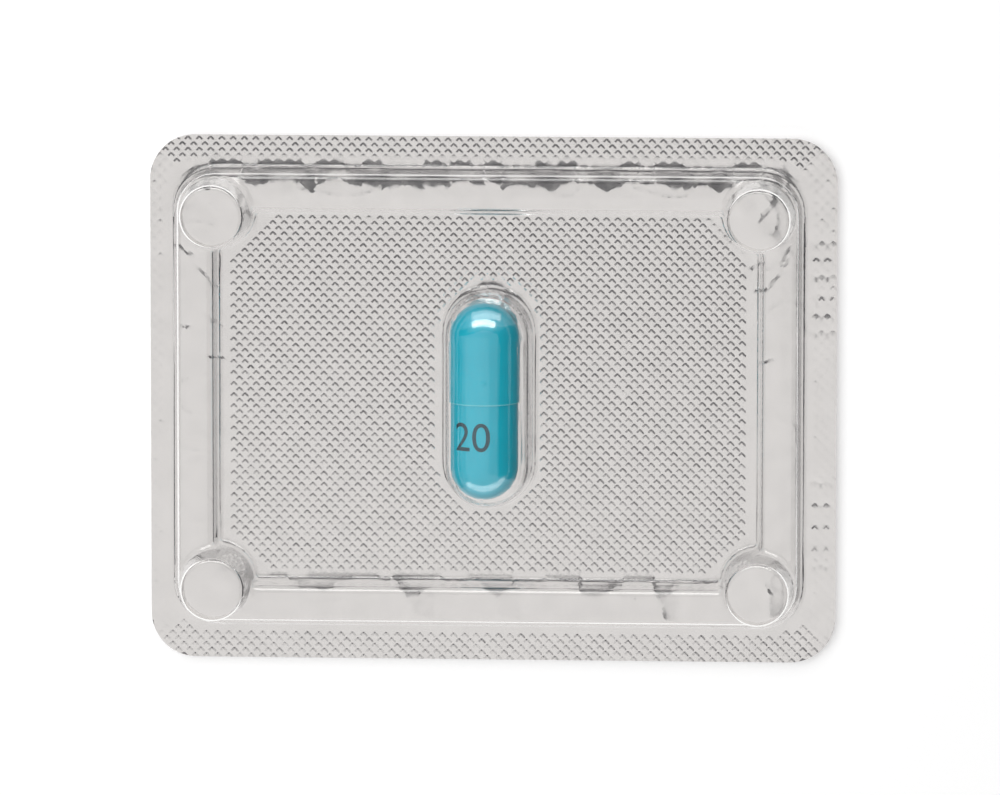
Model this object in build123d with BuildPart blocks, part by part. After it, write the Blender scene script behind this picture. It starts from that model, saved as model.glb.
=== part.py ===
"""Single-capsule blister pack: clear thermoformed film, aluminium lidding foil and one hard capsule.

Millimetres, +Z up. The origin is the centre of the pack's outline on the underside of the foil.
X runs along the pack's long side and Y along its short side. The capsule lies along Y, cap towards +Y.
"""

from build123d import *
from math import cos, radians, sin, tan
import os

os.makedirs("parts", exist_ok=True)

# Outline and sheet thicknesses
pack_length = 67.2
pack_width = 51.6
pack_corner_radius = 4.4
foil_thickness = 0.03
film_thickness = 0.25

# Hard capsule, size number 1
capsule_closed_length = 19.4
cap_diameter = 6.91
cap_length = 9.78
shell_wall = 0.11
cap_to_body_clearance = 0.03
body_rim_clearance = 0.1
fill_clearance = 0.02
fill_headspace = 1.2

# Cavity that holds the capsule, with its inside room round the capsule
cavity_x = -0.37
cavity_y = 0.2
cavity_side_room = 0.4
cavity_end_room = 0.5
cavity_head_room = 0.25
cavity_draft = 4.0
cavity_roof_radius = 3.4
capsule_seat_gap = 0.02
capsule_wall_gap = 0.12

# Raised channel that frames the pack, inside flanges of unlike widths
flange_left = 2.4
flange_right = 3.3
flange_top = 3.2
flange_bottom = 3.5
channel_base_width = 4.3
channel_rise = 2.4
channel_draft = 12.0
channel_inner_corner_radius = 1.0
channel_top_radius = 0.8

# Stacking posts in the channel's corners
post_base_radius = 3.65
post_rise = 7.2
post_draft = 4.6
post_top_radius = 0.5
post_edge_margin = 0.5

# Bends of the film where a raised form leaves the flange or another form
base_bend_radius = 0.7
crease_bend_radius = 0.7

# Heights
film_underside = foil_thickness
flange_face = foil_thickness + film_thickness

# Capsule radii and lengths, from the outside in
cap_radius = cap_diameter / 2
cap_bore_radius = cap_radius - shell_wall
body_radius = cap_bore_radius - cap_to_body_clearance
body_bore_radius = body_radius - shell_wall
fill_radius = body_bore_radius - fill_clearance
cap_straight_length = cap_length - cap_radius
body_length = capsule_closed_length - cap_length + cap_straight_length - body_rim_clearance

# Cavity sizes at the flange, grown from the capsule that it holds
capsule_axis_height = film_underside + capsule_seat_gap + cap_radius
equator_rise = capsule_seat_gap + cap_radius
cavity_rise = capsule_seat_gap + cap_diameter + cavity_head_room


def wall_inset(skin, draft):
    """How far a drafted wall's base moves inwards when the whole face is lowered and thinned by skin."""
    return skin * (1 - sin(radians(draft))) / cos(radians(draft))


cavity_wall_run = wall_inset(film_thickness, cavity_draft) + equator_rise * tan(radians(cavity_draft))
cavity_base_width = cap_diameter + 2 * (cavity_side_room + cavity_wall_run)
cavity_base_length = capsule_closed_length + 2 * (cavity_end_room + cavity_wall_run)

# The capsule has rolled towards the cavity's -X wall
capsule_x = cavity_x - cavity_side_room + capsule_wall_gap
capsule_y = cavity_y

# Channel outline at the flange, and its centre
channel_outer_length = pack_length - flange_left - flange_right
channel_outer_width = pack_width - flange_top - flange_bottom
channel_x = (flange_left - flange_right) / 2
channel_y = (flange_bottom - flange_top) / 2
channel_outer_corner_radius = post_base_radius + post_edge_margin
channel_inner_length = channel_outer_length - 2 * channel_base_width
channel_inner_width = channel_outer_width - 2 * channel_base_width
post_pitch_x = channel_outer_length - 2 * channel_outer_corner_radius
post_pitch_y = channel_outer_width - 2 * channel_outer_corner_radius


def channel_ring(base_height, skin):
    """The channel as a ring with sloping sides and rounded top edges."""
    inset = wall_inset(skin, channel_draft)
    base = Plane(origin=(channel_x, channel_y, base_height))
    with BuildPart() as ring:
        with BuildSketch(base):
            RectangleRounded(
                channel_outer_length - 2 * inset,
                channel_outer_width - 2 * inset,
                channel_outer_corner_radius - inset,
            )
        extrude(amount=channel_rise, taper=channel_draft)
        with BuildSketch(base):
            RectangleRounded(
                channel_inner_length + 2 * inset,
                channel_inner_width + 2 * inset,
                channel_inner_corner_radius + inset,
            )
        extrude(amount=channel_rise, taper=-channel_draft, mode=Mode.SUBTRACT)
        fillet(ring.faces().sort_by(Axis.Z)[-1].edges(), channel_top_radius - skin)
    return ring.part


def corner_posts(base_height, skin):
    """Four tapered round posts with rounded top edges, in the channel's corners."""
    with BuildPart() as posts:
        with BuildSketch(Plane(origin=(channel_x, channel_y, base_height))):
            with GridLocations(post_pitch_x, post_pitch_y, 2, 2):
                Circle(post_base_radius - wall_inset(skin, post_draft))
        extrude(amount=post_rise, taper=post_draft)
        fillet(posts.edges().group_by(Axis.Z)[-1], post_top_radius - skin)
    return posts.part


def capsule_cavity(base_height, skin):
    """The long round-ended cavity, whose roof is rounded almost to its middle."""
    inset = wall_inset(skin, cavity_draft)
    with BuildPart() as cavity:
        with BuildSketch(Plane(origin=(cavity_x, cavity_y, base_height))):
            SlotOverall(cavity_base_length - 2 * inset, cavity_base_width - 2 * inset, rotation=90)
        extrude(amount=cavity_rise, taper=cavity_draft)
        fillet(cavity.faces().sort_by(Axis.Z)[-1].edges(), cavity_roof_radius - skin)
    return cavity.part


def formed_face(skin):
    """What lies under one face of the film: the outside for no skin, the inside for the film's thickness."""
    base_height = flange_face - skin
    with BuildPart() as form:
        with BuildSketch(Plane.XY.offset(base_height)):
            RectangleRounded(pack_length, pack_width, pack_corner_radius)
        extrude(amount=-film_thickness)
        add(channel_ring(base_height, skin))
        add(corner_posts(base_height, skin))
        creases = form.edges(Select.NEW).filter_by_position(
            Axis.Z, base_height + base_bend_radius, base_height + post_rise
        )
        fillet(creases, crease_bend_radius + skin)
        add(capsule_cavity(base_height, skin))
        flange = form.faces().filter_by(Axis.Z).group_by(Axis.Z)[1]
        field, rim = flange.sort_by(lambda face: face.bounding_box().size.X)
        fillet(rim.inner_wires().edges() + field.edges(), base_bend_radius + skin)
    return form.part


# Clear film: flange, channel, posts and cavity drawn from one sheet of even thickness
with BuildPart() as blister_film:
    add(formed_face(0))
    add(formed_face(film_thickness), mode=Mode.SUBTRACT)
blister_film.part.label = "blister_film"

# Lidding foil, sealed to the underside of the film
with BuildPart() as lidding_foil:
    with BuildSketch():
        RectangleRounded(pack_length, pack_width, pack_corner_radius)
    extrude(amount=foil_thickness)
lidding_foil.part.label = "lidding_foil"

# The capsule is turned about its axis: X is the radius here and Y the place along its length
capsule_plane = Plane(origin=(capsule_x, capsule_y, capsule_axis_height))
capsule_axis = Axis(capsule_plane.origin, capsule_plane.y_dir)
cap_end = capsule_closed_length / 2
cap_dome_centre = cap_end - cap_radius
cap_rim = cap_end - cap_length
body_end = -capsule_closed_length / 2
body_dome_centre = body_end + body_radius
body_rim = body_end + body_length
fill_top = body_rim - fill_headspace


def shell_profile(outer, bore, dome_centre, rim, end_direction):
    """Half section of a round-ended shell: straight wall from its rim to a domed end."""
    centre = (0, dome_centre)
    with BuildLine() as section:
        Line((outer, rim), (outer, dome_centre))
        CenterArc(centre, outer, 0, end_direction * 90)
        Line((0, dome_centre + end_direction * outer), (0, dome_centre + end_direction * bore))
        CenterArc(centre, bore, 0, end_direction * 90)
        Line((bore, dome_centre), (bore, rim))
        Line((bore, rim), (outer, rim))
    return section.line


# Cap: the shorter, wider shell
with BuildPart() as capsule_cap:
    with BuildSketch(capsule_plane):
        add(shell_profile(cap_radius, cap_bore_radius, cap_dome_centre, cap_rim, 1))
        make_face()
    revolve(axis=capsule_axis)
capsule_cap.part.label = "capsule_cap"

# Body: the longer, narrower shell that the cap slides over
with BuildPart() as capsule_body:
    with BuildSketch(capsule_plane):
        add(shell_profile(body_radius, body_bore_radius, body_dome_centre, body_rim, -1))
        make_face()
    revolve(axis=capsule_axis)
capsule_body.part.label = "capsule_body"

# Powder that fills the body to a little under its rim
with BuildPart() as capsule_fill:
    with BuildSketch(capsule_plane):
        with BuildLine():
            Line((0, fill_top), (fill_radius, fill_top))
            Line((fill_radius, fill_top), (fill_radius, body_dome_centre))
            CenterArc((0, body_dome_centre), fill_radius, 0, -90)
            Line((0, body_dome_centre - fill_radius), (0, fill_top))
        make_face()
    revolve(axis=capsule_axis)
capsule_fill.part.label = "capsule_fill"

export_step(blister_film.part, "parts/blister_film.step")
export_step(lidding_foil.part, "parts/lidding_foil.step")
export_step(capsule_cap.part, "parts/capsule_cap.step")
export_step(capsule_body.part, "parts/capsule_body.step")
export_step(capsule_fill.part, "parts/capsule_fill.step")
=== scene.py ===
"""Looks of the single-capsule blister pack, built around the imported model. Metres, +Z up.

The foil is one embossed sheet, sealed in a field and a border and loose between them. The film keeps the
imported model's shape, slightly waved and thinned as a drawn sheet is. The capsule's shells are turned again
with rounded rims and a dimple, and carry a plain printed number.
"""

from math import cos, pi, radians, sin, tan

import bmesh
import bpy
import numpy as np
from mathutils import Matrix, Vector


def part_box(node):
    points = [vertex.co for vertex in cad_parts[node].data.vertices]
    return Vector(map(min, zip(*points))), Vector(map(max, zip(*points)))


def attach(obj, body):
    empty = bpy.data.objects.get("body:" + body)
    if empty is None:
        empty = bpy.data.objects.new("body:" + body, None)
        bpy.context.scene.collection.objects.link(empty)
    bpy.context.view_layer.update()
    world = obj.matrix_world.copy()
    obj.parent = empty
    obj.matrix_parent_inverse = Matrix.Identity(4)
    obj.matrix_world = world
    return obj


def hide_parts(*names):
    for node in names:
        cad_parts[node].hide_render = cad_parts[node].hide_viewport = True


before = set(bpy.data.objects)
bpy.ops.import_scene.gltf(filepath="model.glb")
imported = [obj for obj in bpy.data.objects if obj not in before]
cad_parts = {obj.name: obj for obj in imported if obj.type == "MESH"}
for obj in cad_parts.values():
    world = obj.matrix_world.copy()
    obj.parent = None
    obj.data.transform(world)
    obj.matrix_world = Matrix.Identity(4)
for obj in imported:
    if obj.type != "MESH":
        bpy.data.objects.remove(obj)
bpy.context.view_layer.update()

mm = 0.001
noise_cells = 64

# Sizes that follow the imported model
film_low, film_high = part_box("blister_film")
foil_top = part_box("lidding_foil")[1].z
cap_low, cap_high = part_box("capsule_cap")
body_low, body_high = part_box("capsule_body")
pack_half = np.array([(film_high.x - film_low.x) / 2, (film_high.y - film_low.y) / 2])
cap_radius = (cap_high.x - cap_low.x) / 2
body_radius = (body_high.x - body_low.x) / 2
capsule_x = (cap_low.x + cap_high.x) / 2
capsule_y = (cap_high.y + body_low.y) / 2
capsule_z = (cap_low.z + cap_high.z) / 2

# Outline, channel, posts and cavity in plan, as in the part's source
pack_corner_radius = 4.4 * mm
channel_centre = np.array([-0.45, 0.15]) * mm
channel_half = np.array([30.75, 22.45]) * mm
channel_corner_radius = 4.15 * mm
post_spacing = np.array([26.6, 18.3]) * mm
post_radius = 3.65 * mm
cavity_centre = np.array([-0.37, 0.2]) * mm
cavity_radius = 4.33 * mm
cavity_half_length = 10.68 * mm

# Seal areas of the foil, and how softly the pattern starts at their edges
seal_edge_gap = 0.85 * mm
border_edge = 0.25 * mm
field_edge = 0.2 * mm
side_blend = 0.5 * mm
side_fade = 0.44
field_centre = np.array([-0.46, 0.27]) * mm
field_half = np.array([25.4, 17.48]) * mm
field_chamfer = 3.9 * mm
cavity_seal_gap = 0.75 * mm

# Seal pattern: diamond bumps pressed up against the film, each row half a pitch along from the next.
# Foot and top are shares of the way from a bump's middle to the next one's.
bump_pitch_x = 1.107 * mm
bump_pitch_y = 1.098 * mm
bump_height = 0.039 * mm
bump_foot = 0.44
bump_top = 0.23
bump_corner_share = 0.84
bump_unevenness = 0.06
bump_lowest = 0.3
bump_highest = 1.6
bump_crease_angle = radians(7)
groove_level = foil_top - 0.085 * mm

# Loose foil: where it starts to rise beside a seal line, how steeply it does, and its tilted patches
rise_start = 0.55 * mm
slope_facing_away = 0.28
slope_sideways = 0.07
patch_slope = 0.15
patch_size = 1.5 * mm
facing_step = 1.0 * mm

# How high the loose foil lies, and how far from the seal line its rise ends where it faces +Y
upper_height = 0.42 * mm
upper_reach = 2.2 * mm
upper_point_reach = 1.2 * mm
lower_height = 0.09 * mm
lower_point_height = 0.36 * mm
lower_reach = 0.85 * mm
lower_point_reach = 3.4 * mm
side_height = 0.26 * mm
side_reach = 3 * mm
pocket_height = 0.16 * mm
pocket_reach = 1.2 * mm
side_channel_end = 15 * mm
cross_channel_start = 19 * mm

# Unevenness of the loose foil and of its hanging points, theirs in shares of their spacing and tallness
point_shift = 0.22
point_shift_size = 0.7
point_shortness = 0.25
upper_waver = 0.16 * mm
lower_waver = 0.25 * mm
side_waver = 0.10 * mm
pocket_waver = 0.10 * mm
post_fold_height = 0.01 * mm
post_wave_height = 0.045 * mm
fold_height = 0.035 * mm
soft_wave_height = 0.03 * mm

# Creases of the loose foil in the side channels: start, end, depth and half width in millimetres
side_creases = (
    ((-31.2, 15.2), (-29.4, 14.0), 0.096, 0.34),
    ((-29.0, 13.0), (-26.9, 10.7), 0.066, 0.36),
    ((-28.4, 8.4), (-26.4, 6.9), 0.048, 0.34),
    ((-30.9, 7.0), (-29.6, 7.0), 0.072, 0.24),
    ((-28.2, 4.1), (-26.3, 3.9), 0.078, 0.26),
    ((-30.8, 1.6), (-29.2, 1.9), 0.030, 0.30),
    ((-28.6, -3.2), (-26.8, -4.4), 0.030, 0.40),
    ((-30.6, -6.5), (-28.6, -5.6), 0.030, 0.40),
    ((-28.2, -9.5), (-26.6, -10.6), 0.036, 0.36),
    ((29.4, 15.4), (28.2, 13.2), 0.066, 0.42),
    ((28.4, 13.4), (26.6, 11.0), 0.078, 0.38),
    ((26.8, 11.2), (25.4, 10.9), 0.084, 0.26),
    ((26.4, 13.9), (25.0, 13.0), 0.078, 0.28),
    ((27.6, 4.3), (26.0, 3.8), 0.066, 0.26),
    ((29.2, -2.0), (26.6, -2.6), 0.024, 0.40),
    ((28.8, -6.2), (26.4, -7.0), 0.024, 0.45),
    ((28.4, -10.4), (26.2, -11.2), 0.024, 0.45),
)
crease_end_fade = 0.7

# Embossed marks on the right flange: a bare panel and two rows of plain bars, each from low to high Y
panel_centre = np.array([32.9, 11.3]) * mm
panel_half = np.array([2.4, 4.4]) * mm
panel_corner_radius = 0.9 * mm
panel_share = 0.7
bar_x = 32.2 * mm
bar_half_length = 0.75 * mm
bar_rows = ((8.6 * mm, 14.2 * mm, 4), (-16.2 * mm, -8.0 * mm, 5))
emboss_depth = 0.055 * mm
emboss_half_width = 0.5 * mm


def smooth(low, high, value):
    """0 below low, 1 above high and a smooth step between."""
    t = np.clip((value - low) / (high - low), 0, 1)
    return t * t * (3 - 2 * t)


def rounded_box_distance(x, y, centre, half, radius):
    """Distance to a rounded rectangle in plan, below zero inside it."""
    qx = np.abs(x - centre[0]) - half[0] + radius
    qy = np.abs(y - centre[1]) - half[1] + radius
    return np.hypot(np.maximum(qx, 0), np.maximum(qy, 0)) + np.minimum(np.maximum(qx, qy), 0) - radius


def field_distance(x, y):
    """Distance to the sealed field with its chamfered corners, below zero inside it."""
    qx = np.abs(x - field_centre[0]) - field_half[0]
    qy = np.abs(y - field_centre[1]) - field_half[1]
    chamfer = (qx + qy + field_chamfer) / 2**0.5
    return np.maximum(np.maximum(qx, qy), chamfer)


def cavity_distance(x, y):
    """Distance to the cavity's outline at the flange, below zero inside it."""
    straight = cavity_half_length - cavity_radius
    dy = np.maximum(np.abs(y - cavity_centre[1]) - straight, 0)
    return np.hypot(x - cavity_centre[0], dy) - cavity_radius


def post_distance(x, y):
    """Distance to the nearest corner post's outline, below zero inside it."""
    dx = np.abs(x - channel_centre[0]) - post_spacing[0]
    dy = np.abs(y - channel_centre[1]) - post_spacing[1]
    return np.hypot(dx, dy) - post_radius


def value_noise(x, y, size, seed):
    """Smooth seeded noise between -1 and 1 with features of the given size."""
    rng = np.random.default_rng(seed)
    table = rng.uniform(-1, 1, (noise_cells, noise_cells))
    u, v = x / size, y / size
    i, j = np.floor(u).astype(int), np.floor(v).astype(int)
    s, t = u - i, v - j
    s, t = s * s * (3 - 2 * s), t * t * (3 - 2 * t)
    i0, i1, j0, j1 = i % noise_cells, (i + 1) % noise_cells, j % noise_cells, (j + 1) % noise_cells
    low = table[i0, j0] * (1 - s) + table[i1, j0] * s
    high = table[i0, j1] * (1 - s) + table[i1, j1] * s
    return low * (1 - t) + high * t


def ridges(x, y, size, seed):
    """Noise folded into sharp creases: 1 along a crease and 0 between."""
    return 1 - np.abs(value_noise(x, y, size, seed)) * 2


def outer_seal_distance(x, y):
    """How far inside the channel's outer seal line a place is."""
    return -rounded_box_distance(x, y, channel_centre, channel_half + seal_edge_gap, channel_corner_radius)


def seal_depth(x, y):
    """Share of the pattern's depth that the seal has at a place."""
    beyond_x = np.abs(x - channel_centre[0]) - channel_half[0]
    beyond_y = np.abs(y - channel_centre[1]) - channel_half[1]
    side_band = smooth(-side_blend, side_blend, beyond_x - np.maximum(beyond_y, 0))
    border = smooth(0.0, border_edge, -outer_seal_distance(x, y)) * (1 - side_fade * side_band)
    field = smooth(0.0, field_edge, -field_distance(x, y))
    field = field * smooth(0.0, field_edge, cavity_distance(x, y) - cavity_seal_gap)
    return np.maximum(border, field)


def hanging_points(x, spacing, half_width, power, seed):
    """Shares between 0 and 1 that rise to points, unevenly spaced along X and unevenly tall."""
    warped = x / spacing + point_shift * value_noise(x, 0 * x, point_shift_size * spacing, seed)
    nearest = np.round(warped)
    tallness = 1 + point_shortness * (value_noise(nearest * mm, 0 * x, 1.0 * mm, seed + 1) - 1)
    away = np.abs(warped - nearest) * spacing / half_width
    return tallness * np.maximum(1 - away, 0) ** power


def rise_shape(x, y):
    """How high the loose foil lies, and how far from the seal line its rise ends where it faces +Y.

    The rise hangs down in points: wide ones along the upper channel and small ones along the lower.
    """
    upper_points = hanging_points(x, spacing=5.6 * mm, half_width=2.8 * mm, power=1.8, seed=11)
    lower_points = hanging_points(x, spacing=8.8 * mm, half_width=2.6 * mm, power=1.0, seed=18)
    upper_end = upper_reach + upper_waver * value_noise(x, 0 * x, 1.7 * mm, 12)
    upper_end += upper_point_reach * upper_points
    lower_end = lower_reach + lower_waver * value_noise(x, 0 * x, 1.3 * mm, 20)
    lower_end += lower_point_reach * lower_points
    lower_top = lower_height + lower_point_height * lower_points
    side_top = side_height + side_waver * value_noise(0 * x, y, 4.0 * mm, 19)
    is_upper = smooth(side_channel_end, cross_channel_start, y)
    is_lower = smooth(side_channel_end, cross_channel_start, -y)
    is_side = 1 - is_upper - is_lower
    height = upper_height * is_upper + lower_top * is_lower + side_top * is_side
    reach = upper_end * is_upper + lower_end * is_lower + side_reach * is_side
    return height, reach


def rise_slope(towards_y, height, reach):
    """Slope of the loose foil beside a seal line, from how squarely it faces +Y."""
    facing = np.clip(towards_y, 0, 1) ** 2
    away = np.clip(-towards_y, 0, 1) ** 2
    slope_facing = height / (reach - rise_start)
    slope = slope_sideways + (slope_facing - slope_sideways) * facing
    return slope + (slope_facing_away - slope_sideways) * away


def groove(distance, half_width):
    """1 in the middle of a groove, 0 at its edges, from the distance to its middle line."""
    return np.maximum(1 - distance / half_width, 0)


def line_distance(x, y, start, end):
    """Distance to a straight line between two points in plan, and the share of the way along it."""
    ax, ay = start
    dx, dy = end[0] - ax, end[1] - ay
    along = np.clip(((x - ax) * dx + (y - ay) * dy) / (dx * dx + dy * dy), 0, 1)
    return np.hypot(x - ax - along * dx, y - ay - along * dy), along


def creases(x, y):
    """Depth of the creases in the side channels, deepest in the middle of each."""
    total = np.zeros(x.shape)
    for start, end, depth, half_width in side_creases:
        start, end = np.array(start) * mm, np.array(end) * mm
        distance, along = line_distance(x, y, start, end)
        fade = 1 - crease_end_fade * (2 * along - 1) ** 4
        total += depth * mm * groove(distance, half_width * mm) * fade
    return total


def embossed_marks(x, y):
    """Depth of the plain marks on the right flange."""
    edge = np.abs(rounded_box_distance(x, y, panel_centre, panel_half, panel_corner_radius))
    total = groove(edge, emboss_half_width) * panel_share
    for low, high, count in bar_rows:
        for y_bar in np.linspace(low, high, count):
            start, end = (bar_x - bar_half_length, y_bar), (bar_x + bar_half_length, y_bar)
            distance, _ = line_distance(x, y, start, end)
            total = np.maximum(total, groove(distance, emboss_half_width))
    return emboss_depth * total


def capsule_room(x, y):
    """Height between the foil and the capsule's underside, wide open beside the capsule."""
    straight = (cap_high.y - body_low.y) / 2 - cap_radius
    across = np.hypot(x - capsule_x, np.maximum(np.abs(y - capsule_y) - straight, 0))
    under = capsule_z - np.sqrt(np.maximum(cap_radius**2 - across**2, 0)) - foil_top
    return np.where(across < cap_radius, under, np.inf)


def facing_y(distance_at, x, y):
    """How squarely foil that rises with a distance faces +Y, from -1 to 1, softened over a short step."""
    return (distance_at(x, y - facing_step) - distance_at(x, y + facing_step)) / (2 * facing_step)


def beside_seal(distance, towards_y, height, reach, along, seed):
    """Loose foil beside a seal line: a flat strip with tilted patches, then a rise to its height."""
    slope = rise_slope(towards_y, height, reach)
    rise = np.minimum(np.maximum(distance - rise_start, 0) * slope, height)
    patch = smooth(-0.15, 0.05, value_noise(along, 0 * along, patch_size, seed))
    patch = patch * np.clip(towards_y, 0, 1) ** 2
    return rise + np.clip(distance, 0, rise_start) * patch_slope * patch


def loose_foil(x, y):
    """Height of the loose foil against the sealed foil."""
    outer = outer_seal_distance(x, y)
    inner = field_distance(x, y)
    height, reach = rise_shape(x, y)
    from_outer = beside_seal(outer, facing_y(outer_seal_distance, x, y), height, reach, x, 41)
    from_inner = beside_seal(inner, facing_y(field_distance, x, y), height, reach, x, 42)
    loose = smooth(0.4 * mm, 1.6 * mm, np.minimum(outer, inner))
    post = smooth(1.2 * mm, -0.8 * mm, post_distance(x, y)) * loose
    post_folds = post_fold_height * np.maximum(ridges(x, y, 3.4 * mm, 14), 0) ** 5
    crumple = post * (post_folds + post_wave_height * value_noise(x, y, 1.8 * mm, 15))
    folds = fold_height * np.maximum(ridges(x, y, 3.6 * mm, 13), 0) ** 8
    soft = soft_wave_height * value_noise(x, y, 3.3 * mm, 16)
    inside = cavity_seal_gap - cavity_distance(x, y)
    inside_y = -facing_y(cavity_distance, x, y)
    pocket_top = pocket_height + pocket_waver * value_noise(x, y, 1.5 * mm, 17)
    pocket = np.minimum(beside_seal(inside, inside_y, pocket_top, pocket_reach, x, 43), capsule_room(x, y))
    ring = np.minimum(from_outer, from_inner)
    return ring + pocket + loose * (folds + soft) + crumple - creases(x, y)


def foil_mesh():
    """The foil on a grid along the seal pattern's diagonals, cut to the pack's outline."""
    phases = np.array([-bump_foot, -bump_top, bump_top, bump_foot])
    reach = int((pack_half[0] + pack_half[1]) / bump_pitch_x) + 4
    cells = np.arange(-reach, reach)
    steps = (cells[:, None] + phases[None, :]).ravel()
    share_at = np.tile([0.0, 1.0, 1.0, 0.0], len(cells))
    u, v = np.meshgrid(steps, steps, indexing="ij")
    cell_u, cell_v = np.round(u), np.round(v)
    is_corner = np.isclose(np.abs(u - cell_u), np.abs(v - cell_v))
    pull = np.where(is_corner, bump_corner_share, 1.0)
    u, v = cell_u + (u - cell_u) * pull, cell_v + (v - cell_v) * pull
    x = (u - v) * bump_pitch_x / 2
    y = (u + v) * bump_pitch_y / 2
    cell_x = (cell_u - cell_v) * bump_pitch_x / 2
    cell_y = (cell_u + cell_v) * bump_pitch_y / 2
    rng = np.random.default_rng(5)
    chance = rng.normal(1.0, bump_unevenness, (2 * reach + 8, 2 * reach + 8))
    uneven = chance[(cell_u + reach + 2).astype(int), (cell_v + reach + 2).astype(int)]
    bumps = share_at[:, None] * share_at[None, :]
    height = bump_height * np.clip(uneven, bump_lowest, bump_highest) * seal_depth(cell_x, cell_y)
    z = groove_level + bumps * height + loose_foil(x, y) - embossed_marks(x, y)
    outside = rounded_box_distance(x, y, (0, 0), pack_half, pack_corner_radius)
    step = 0.001 * mm
    growth_x = rounded_box_distance(x + step, y, (0, 0), pack_half, pack_corner_radius) - outside
    growth_y = rounded_box_distance(x, y + step, (0, 0), pack_half, pack_corner_radius) - outside
    over = np.maximum(outside, 0) / np.maximum(np.hypot(growth_x, growth_y), 1e-12)
    x = x - growth_x * over
    y = y - growth_y * over
    is_in = outside < 0
    quads = is_in[:-1, :-1] | is_in[1:, :-1] | is_in[:-1, 1:] | is_in[1:, 1:]
    number = np.arange(x.size).reshape(x.shape)
    corners = number[:-1, :-1], number[1:, :-1], number[1:, 1:], number[:-1, 1:]
    faces = np.stack([corner[quads] for corner in corners], axis=1)
    used, index = np.unique(faces, return_inverse=True)
    points = np.stack([x.ravel()[used], y.ravel()[used], z.ravel()[used]], axis=1)
    return points.tolist(), index.reshape(faces.shape).tolist()


def mesh_object(name, points, faces, material, slot):
    """A smooth-shaded mesh object that rides on the pack."""
    mesh = bpy.data.meshes.new(name)
    mesh.from_pydata(points, [], faces)
    mesh.validate()
    obj = bpy.data.objects.new(name, mesh)
    bpy.context.scene.collection.objects.link(obj)
    mesh.materials.append(material)
    mesh.shade_smooth()
    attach(obj, "root")
    return obj


def cut_in_grid(work, offsets_x, offsets_y):
    """Cuts a mesh by planes at these places along X and Y, and then into triangles."""
    for axis, offsets in ((0, offsets_x), (1, offsets_y)):
        for offset in offsets:
            place, normal = [0, 0, 0], [0, 0, 0]
            place[axis], normal[axis] = offset, 1
            geometry = work.verts[:] + work.edges[:] + work.faces[:]
            bmesh.ops.bisect_plane(work, geom=geometry, dist=1e-8, plane_co=place, plane_no=normal)
    bmesh.ops.triangulate(work, faces=work.faces[:])


class Nodes:
    """Adds nodes to the node tree of a material or a world and links them."""

    def __init__(self, owner, output="ShaderNodeOutputMaterial"):
        self.owner = owner
        owner.use_nodes = True
        self.tree = owner.node_tree
        self.tree.nodes.clear()
        self.output = self.add(output)

    def add(self, kind, **settings):
        node = self.tree.nodes.new(kind)
        for key, value in settings.items():
            if key in node.inputs:
                node.inputs[key].default_value = value
            else:
                setattr(node, key, value)
        return node

    def link(self, source, output, target, socket):
        self.tree.links.new(source.outputs[output], target.inputs[socket])

    def noise(self, scale, detail=3.0, roughness=0.5):
        place = self.add("ShaderNodeTexCoord")
        noise = self.add("ShaderNodeTexNoise", Scale=scale, Detail=detail, Roughness=roughness)
        self.link(place, "Object", noise, "Vector")
        return noise

    def ramp(self, source, output, low, high, colour_low, colour_high):
        ramp = self.add("ShaderNodeValToRGB")
        ramp.color_ramp.elements[0].position = low
        ramp.color_ramp.elements[0].color = (*colour_low, 1)
        ramp.color_ramp.elements[1].position = high
        ramp.color_ramp.elements[1].color = (*colour_high, 1)
        self.link(source, output, ramp, "Fac")
        return ramp

    def bump(self, source, output, strength, distance):
        bump = self.add("ShaderNodeBump", Strength=strength, Distance=distance)
        self.link(source, output, bump, "Height")
        return bump

    def seen_rays(self):
        """1 for rays that show a background: from the camera, off gloss and through glass."""
        path = self.add("ShaderNodeLightPath")
        first = self.add("ShaderNodeMath", operation="MAXIMUM")
        second = self.add("ShaderNodeMath", operation="MAXIMUM")
        self.link(path, "Is Camera Ray", first, 0)
        self.link(path, "Is Glossy Ray", first, 1)
        self.link(first, "Value", second, 0)
        self.link(path, "Is Transmission Ray", second, 1)
        return second


def foil_material():
    """Bright rolled aluminium with a fine grain."""
    m = Nodes(bpy.data.materials.new("embossed_foil"))
    shader = m.add("ShaderNodeBsdfPrincipled", Metallic=1.0, Roughness=0.3)
    tint = m.ramp(m.noise(450.0), "Fac", 0.3, 0.7, (0.84, 0.817, 0.807), (0.89, 0.865, 0.855))
    rough = m.ramp(m.noise(900.0), "Fac", 0.3, 0.7, (0.17,) * 3, (0.26,) * 3)
    grain = m.noise(9000.0, 2.0)
    bump = m.bump(grain, "Fac", 0.12, 0.00001)
    m.link(tint, "Color", shader, "Base Color")
    m.link(rough, "Color", shader, "Roughness")
    m.link(bump, "Normal", shader, "Normal")
    m.link(shader, "BSDF", m.output, "Surface")
    return m.owner


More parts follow.
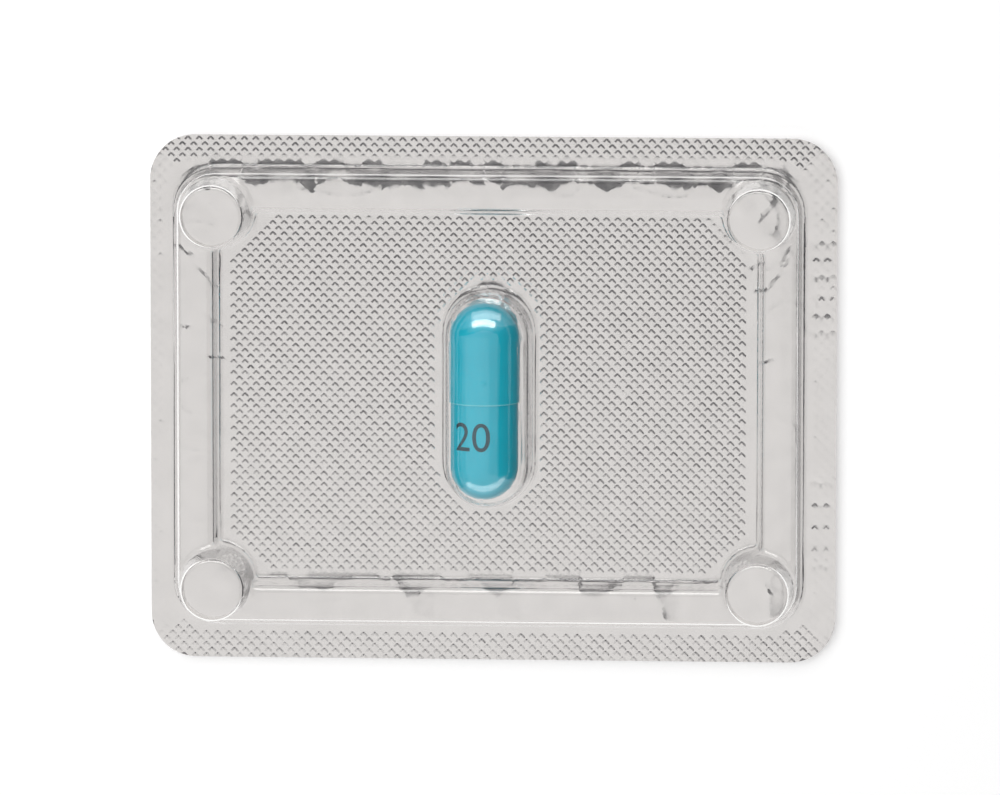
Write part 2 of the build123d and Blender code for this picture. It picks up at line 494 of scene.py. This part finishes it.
def film_material():
    """Clear film: glass to the camera and behind glass, see-through for all other rays."""
    m = Nodes(bpy.data.materials.new("clear_film"))
    glass = m.add("ShaderNodeBsdfGlass", Roughness=0.03, IOR=1.5)
    glass.inputs["Color"].default_value = (0.992, 0.988, 0.982, 1)
    clear = m.add("ShaderNodeBsdfTransparent")
    clear.inputs["Color"].default_value = (1, 1, 1, 1)
    path = m.add("ShaderNodeLightPath")
    seen = m.add("ShaderNodeMath", operation="MAXIMUM")
    m.link(path, "Is Camera Ray", seen, 0)
    m.link(path, "Is Transmission Ray", seen, 1)
    mix = m.add("ShaderNodeMixShader")
    m.link(seen, "Value", mix, "Fac")
    m.link(clear, "BSDF", mix, 1)
    m.link(glass, "BSDF", mix, 2)
    ripple = m.noise(700.0, 2.0)
    bump = m.bump(ripple, "Fac", 0.15, 0.00002)
    m.link(bump, "Normal", glass, "Normal")
    m.link(mix, "Shader", m.output, "Surface")
    return m.owner


def capsule_material(name, low, high):
    """Gelatine with a clear gloss, mottled between two colours."""
    m = Nodes(bpy.data.materials.new(name))
    shader = m.add("ShaderNodeBsdfPrincipled", Roughness=0.35)
    shader.inputs["Specular IOR Level"].default_value = 0.15
    shader.inputs["Coat Weight"].default_value = 1.0
    shader.inputs["Coat Roughness"].default_value = 0.06
    shader.inputs["Coat IOR"].default_value = 1.5
    tint = m.ramp(m.noise(500.0), "Fac", 0.25, 0.75, low, high)
    bump = m.bump(m.noise(1600.0, 2.0), "Fac", 0.2, 0.00002)
    m.link(tint, "Color", shader, "Base Color")
    m.link(bump, "Normal", shader, "Coat Normal")
    m.link(shader, "BSDF", m.output, "Surface")
    return m.owner


def print_material():
    """Dark printing ink."""
    m = Nodes(bpy.data.materials.new("printed_ink"))
    shader = m.add("ShaderNodeBsdfPrincipled", Roughness=0.45)
    tint = m.ramp(m.noise(2500.0), "Fac", 0.3, 0.7, (0.01, 0.045, 0.065), (0.02, 0.075, 0.10))
    m.link(tint, "Color", shader, "Base Color")
    m.link(shader, "BSDF", m.output, "Surface")
    return m.owner


def powder_material():
    """Packed off-white powder."""
    m = Nodes(bpy.data.materials.new("packed_powder"))
    shader = m.add("ShaderNodeBsdfPrincipled", Roughness=0.95)
    tint = m.ramp(m.noise(3000.0, 5.0), "Fac", 0.3, 0.7, (0.78, 0.76, 0.70), (0.9, 0.89, 0.84))
    bump = m.bump(m.noise(6000.0, 4.0), "Fac", 0.6, 0.00005)
    m.link(tint, "Color", shader, "Base Color")
    m.link(bump, "Normal", shader, "Normal")
    m.link(shader, "BSDF", m.output, "Surface")
    return m.owner


foil = mesh_object("embossed_lidding_foil", *foil_mesh(), foil_material(), "bright_foil")
foil.data.set_sharp_from_angle(angle=bump_crease_angle)
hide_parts("lidding_foil")

# Film: waves above the flange, and the thinning of the drawn sheet
film_grid = 1.5 * mm
film_wave = 0.03 * mm
film_flange_top = 0.26 * mm
film_thinning = 0.13 * mm
thinning_rise = 0.3 * mm
film_crease_angle = radians(35)


def film_mesh():
    """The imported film, welded, cut into a fine grid, waved and thinned on its inner face."""
    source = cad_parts["blister_film"].data
    count = len(source.vertices)
    points = np.zeros(count * 3)
    source.vertices.foreach_get("co", points)
    faces = [tuple(p.vertices) for p in source.polygons]
    mesh = bpy.data.meshes.new("film")
    mesh.from_pydata(points.reshape(-1, 3).tolist(), [], faces)
    work = bmesh.new()
    work.from_mesh(mesh)
    bmesh.ops.remove_doubles(work, verts=work.verts, dist=1e-7)
    cut_in_grid(work, *(np.arange(-half + film_grid, half, film_grid) for half in pack_half))
    x, y, z = (np.array([vert.co[axis] for vert in work.verts]) for axis in range(3))
    above_foil = z - foil_top
    wave = film_wave * (value_noise(x, y, 7 * mm, 31) + 0.5 * value_noise(x, y, 3.1 * mm, 32))
    wave *= smooth(0, 0.01 * mm, above_foil - film_flange_top)
    thinning = film_thinning * smooth(0, thinning_rise, above_foil)
    work.normal_update()
    for vert, dz, inwards in zip(work.verts, wave, thinning):
        if vert.normal.z < 0:
            vert.co -= vert.normal * float(inwards)
        vert.co.z += dz
    work.to_mesh(mesh)
    work.free()
    return mesh


film = bpy.data.objects.new("formed_film", film_mesh())
bpy.context.scene.collection.objects.link(film)
film.data.materials.append(film_material())
film.data.shade_smooth()
film.data.set_sharp_from_angle(angle=film_crease_angle)
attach(film, "root")
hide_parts("blister_film")

# Capsule shells
shell_wall = 0.11 * mm
turned_steps = 192
rim_radius = 0.05 * mm
rim_bevel = 0.12 * mm
dimple_place = (-0.55 * mm, 2.35 * mm)
dimple_radius = 0.32 * mm
dimple_height = 0.06 * mm


def shell_rings(radius, rim_y, end_y):
    """Radius and place of each ring of a round-ended shell, from inner dome over rim to outer dome."""
    way = 1 if end_y > rim_y else -1
    dome_y = end_y - way * radius
    inner = radius - shell_wall
    middle = radius - shell_wall / 2
    arc = [(inner * cos(t), dome_y + way * inner * sin(t)) for t in np.linspace(0, pi / 2, 14)[:-1]]
    rings = arc[::-1] + [(inner, rim_y + way * rim_radius)]
    for turn in np.linspace(0, pi, 7):
        rings.append((middle - shell_wall / 2 * cos(turn), rim_y + way * rim_radius * (1 - sin(turn))))
    rings += [(radius, y) for y in np.linspace(rim_y + way * rim_bevel, dome_y, 60)]
    rings += [(radius * cos(t), dome_y + way * radius * sin(t)) for t in np.linspace(0, pi / 2, 30)[1:-1]]
    return rings, dome_y + way * inner


def dimple(x, y):
    """Height of the small round mark on the cap at a place seen from above."""
    distance = np.hypot(x - dimple_place[0], y - dimple_place[1])
    return dimple_height * float(smooth(dimple_radius, 0.4 * dimple_radius, distance))


def turned_shell(name, radius, rim_y, end_y, materials):
    """A round-ended shell turned about the capsule's axis, with a rounded rim in the second material, whose
    lighter colour is a painted highlight along the rim.
    """
    rings, inner_end = shell_rings(radius, rim_y, end_y)
    points = [(capsule_x, inner_end, capsule_z)]
    for ring_radius, y in rings:
        for k in range(turned_steps):
            angle = 2 * pi * k / turned_steps
            grown = ring_radius
            if ring_radius == radius and sin(angle) > 0:
                grown += dimple(capsule_x + radius * cos(angle), y)
            points.append((capsule_x + grown * cos(angle), y, capsule_z + grown * sin(angle)))
    points.append((capsule_x, end_y, capsule_z))
    # Faces on the rim take the lighter second material, which paints the rim's highlight
    is_rim = [
        int(abs(y - rim_y) < rim_bevel * 0.99 and ring_radius > radius - shell_wall)
        for ring_radius, y in rings[:-1]
    ]
    faces, on_rim = [], []
    for k in range(turned_steps):
        n = (k + 1) % turned_steps
        faces.append((0, 1 + n, 1 + k))
        for ring in range(len(rings) - 1):
            base = 1 + ring * turned_steps
            faces.append((base + k, base + n, base + turned_steps + n, base + turned_steps + k))
        base = 1 + (len(rings) - 1) * turned_steps
        faces.append((base + k, base + n, len(points) - 1))
        on_rim += [0, *is_rim, 0]
    obj = mesh_object(name, points, faces, materials[0], "capsule_shell")
    obj.data.materials.append(materials[1])
    obj.data.polygons.foreach_set("material_index", on_rim)
    work = bmesh.new()
    work.from_mesh(obj.data)
    bmesh.ops.recalc_face_normals(work, faces=work.faces)
    work.to_mesh(obj.data)
    work.free()
    return obj


gelatine = (
    capsule_material("gelatine_shell", (0.003, 0.47, 0.63), (0.006, 0.51, 0.67)),
    # Rim: lighter than the shell, a painted highlight of the thin shell edge at the seam
    capsule_material("gelatine_rim_painted_highlight", (0.10, 0.62, 0.72), (0.14, 0.66, 0.76)),
)
cap = turned_shell("turned_cap", cap_radius, cap_low.y, cap_high.y, gelatine)
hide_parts("capsule_cap")
body = turned_shell("turned_body", body_radius, body_high.y, body_low.y, gelatine)
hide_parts("capsule_body")

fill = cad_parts["capsule_fill"]
fill.data.materials.clear()
fill.data.materials.append(powder_material())

# Printed number, wrapped on the body: its text, size and place on the flattened skin
number_text = "20"
number_height = 2.8 * mm
digit_share = 0.7
number_x = -1.75 * mm
number_y = -3.15 * mm
number_reach = 3 * mm
number_grid = 0.15 * mm
print_lift = 0.006 * mm


def printed_number():
    """A plain number as a thin skin of ink on the capsule's body."""
    curve = bpy.data.curves.new("number", "FONT")
    curve.body = number_text
    curve.size = number_height / digit_share
    curve.align_x = "CENTER"
    curve.align_y = "CENTER"
    curve.resolution_u = 8
    flat = bpy.data.objects.new("number", curve)
    bpy.context.scene.collection.objects.link(flat)
    mesh = bpy.data.meshes.new_from_object(flat)
    bpy.data.objects.remove(flat)
    work = bmesh.new()
    work.from_mesh(mesh)
    offsets = np.arange(-number_reach, number_reach, number_grid)
    cut_in_grid(work, offsets, offsets)
    radius = body_radius + print_lift
    for vert in work.verts:
        angle = (vert.co.x + number_x - capsule_x) / body_radius
        y = vert.co.y + number_y
        vert.co = Vector((capsule_x + radius * sin(angle), y, capsule_z + radius * cos(angle)))
    work.to_mesh(mesh)
    work.free()
    obj = bpy.data.objects.new("printed_number", mesh)
    bpy.context.scene.collection.objects.link(obj)
    mesh.materials.append(print_material())
    mesh.shade_smooth()
    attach(obj, "root")
    return obj


printed_number()

# Camera: focal length in pixels, and the view's direction as slopes from the vertical and a turn
focal_pixels = 9500
frame_width = 1000
view_slope_x = 0.0611
view_slope_y = 0.1303
view_roll = 0.00104
view_target = Vector((0.678 * mm, 0.107 * mm, 0))
view_distance = 929.8 * mm

camera = bpy.data.objects.new("camera", bpy.data.cameras.new("camera"))
bpy.context.scene.collection.objects.link(camera)
camera.data.sensor_width = 36.0
camera.data.lens = focal_pixels / frame_width * camera.data.sensor_width
camera.data.clip_start = 0.05
camera.data.clip_end = 20
towards_camera = Vector((view_slope_x, view_slope_y, 1)).normalized()
camera.location = view_target + towards_camera * view_distance
right = Vector((0, 1, 0)).cross(towards_camera).normalized()
up = towards_camera.cross(right)
turned_right = right * cos(view_roll) + up * sin(view_roll)
turned_up = up * cos(view_roll) - right * sin(view_roll)
turn = Matrix((turned_right, turned_up, towards_camera)).transposed().to_4x4()
camera.matrix_world = Matrix.Translation(camera.location) @ turn
bpy.context.scene.camera = camera

# Studio
floor_z = -1.0 * mm
floor_size = 3.0
floor_lift = 0.26
card_distance = 0.5
softbox_distance = 0.6
capsule_gloss_distance = 0.55
film_gloss_distance = 0.5
overhead_distance = 0.5
overhead_size = (0.5, 0.5)
overhead_radiance = 1.9
surround_strength = 0.27


def facing(place, normal):
    """Placement with its Z along normal and its X level."""
    z = normal.normalized()
    x = Vector((0, 1, 0)).cross(z).normalized() if abs(z.x) < 0.9 else Vector((0, 1, 0))
    y = z.cross(x)
    return Matrix.Translation(place) @ Matrix((x, y, z)).transposed().to_4x4()


def span(half_wide, half_tall, distance):
    """Width and height of a flat piece that spans these half angles at a distance."""
    return [2 * distance * tan(radians(half_angle)) for half_angle in (half_wide, half_tall)]


def plane_object(name, centre, normal, width, height, material):
    """A flat stage piece that faces along normal, with its width along X."""
    mesh = bpy.data.meshes.new(name)
    signs = ((-1, -1), (1, -1), (1, 1), (-1, 1))
    mesh.from_pydata([(x * width / 2, y * height / 2, 0) for x, y in signs], [], [(0, 1, 2, 3)])
    obj = bpy.data.objects.new(name, mesh)
    bpy.context.scene.collection.objects.link(obj)
    obj.matrix_world = facing(centre, Vector(normal))
    mesh.materials.append(material)
    return obj


def floor_material():
    """A pale matt floor that glows a little to the rays that show a background."""
    m = Nodes(bpy.data.materials.new("studio_floor"))
    shader = m.add("ShaderNodeBsdfDiffuse")
    shader.inputs["Color"].default_value = (0.93, 0.93, 0.93, 1)
    glow = m.add("ShaderNodeEmission", Strength=floor_lift)
    none = m.add("ShaderNodeEmission", Strength=0.0)
    mix = m.add("ShaderNodeMixShader")
    m.link(m.seen_rays(), "Value", mix, "Fac")
    m.link(none, "Emission", mix, 1)
    m.link(glow, "Emission", mix, 2)
    both = m.add("ShaderNodeAddShader")
    m.link(shader, "BSDF", both, 0)
    m.link(mix, "Shader", both, 1)
    m.link(both, "Shader", m.output, "Surface")
    return m.owner


def card_material():
    """Matt black card."""
    m = Nodes(bpy.data.materials.new("black_card"))
    shader = m.add("ShaderNodeBsdfDiffuse")
    shader.inputs["Color"].default_value = (0.10, 0.10, 0.11, 1)
    m.link(shader, "BSDF", m.output, "Surface")
    return m.owner


def direction(towards_x, towards_y):
    """Unit vector tilted from the vertical by these angles towards +X and +Y."""
    x, y = sin(radians(towards_x)), sin(radians(towards_y))
    return Vector((x, y, max(1 - x * x - y * y, 0) ** 0.5))


black = card_material()


def black_card(name, towards_x, towards_y, half_wide, half_tall):
    """A black card for reflections, given by the angles where its middle stands and its half angles."""
    towards = direction(towards_x, towards_y)
    size = span(half_wide, half_tall, card_distance)
    card = plane_object(name, towards * card_distance, -towards, *size, black)
    card.visible_camera = False
    card.visible_diffuse = False
    card.visible_shadow = False


def area_light(name, towards, distance, size, radiance):
    """A rectangular light that faces the pack from this direction, hidden from the camera."""
    light = bpy.data.lights.new(name, "AREA")
    light.shape = "RECTANGLE"
    light.size, light.size_y = size
    light.energy = radiance * light.size * light.size_y * pi
    obj = bpy.data.objects.new(name, light)
    bpy.context.scene.collection.objects.link(obj)
    obj.matrix_world = facing(towards * distance, towards)
    obj.visible_camera = False
    return obj


def matt_light(name, towards, distance, size, radiance):
    """An area light that shows in no reflection."""
    area_light(name, towards, distance, size, radiance).visible_glossy = False


def gloss_light(name, towards_y, distance, half_wide, half_tall, radiance, pieces):
    """An area light that shows only in the reflections of these pieces.

    Lights at one distance hide one another, so lights for unlike pieces stand at unlike distances.
    """
    size = span(half_wide, half_tall, distance)
    obj = area_light(name, direction(0, towards_y), distance, size, radiance)
    obj.visible_diffuse = False
    receivers = bpy.data.collections.new(name)
    for piece in pieces:
        receivers.objects.link(piece)
    obj.light_linking.receiver_collection = receivers


plane_object("floor", Vector((0, 0, floor_z)), (0, 0, 1), floor_size, floor_size, floor_material())

black_card("card_above", 0, 16.5, 60, 9.5)
black_card("card_behind", 0, 81, 60, 9)
black_card("card_left", -75, 0, 45, 15)
black_card("card_right", 64, 0, 45, 26)

matt_light("softbox", direction(0, 54), softbox_distance, span(40, 18, softbox_distance), 1.0)
matt_light("low_softbox", direction(0, -59), softbox_distance, span(40, 12, softbox_distance), 1.0)
matt_light("overhead", direction(-24, 8), overhead_distance, overhead_size, overhead_radiance)
gloss_light("capsule_gloss", 55, capsule_gloss_distance, 35, 12, 27.0, (cap, body))
gloss_light("horizon_gloss", -82, capsule_gloss_distance, 60, 18, 4.5, (cap, body))
gloss_light("film_gloss", 54, film_gloss_distance, 29, 12, 3.5, (film,))

world = bpy.data.worlds.new("studio")
bpy.context.scene.world = world
surround = Nodes(world, "ShaderNodeOutputWorld")
world.cycles.sampling_method = "NONE"
background = surround.add("ShaderNodeBackground", Strength=1.0)
soft_light = surround.add("ShaderNodeBackground", Strength=surround_strength)
either = surround.add("ShaderNodeMixShader")
surround.link(surround.seen_rays(), "Value", either, "Fac")
surround.link(soft_light, "Background", either, 1)
surround.link(background, "Background", either, 2)
surround.link(either, "Shader", surround.output, "Surface")

bpy.context.scene.view_settings.view_transform = "Standard"
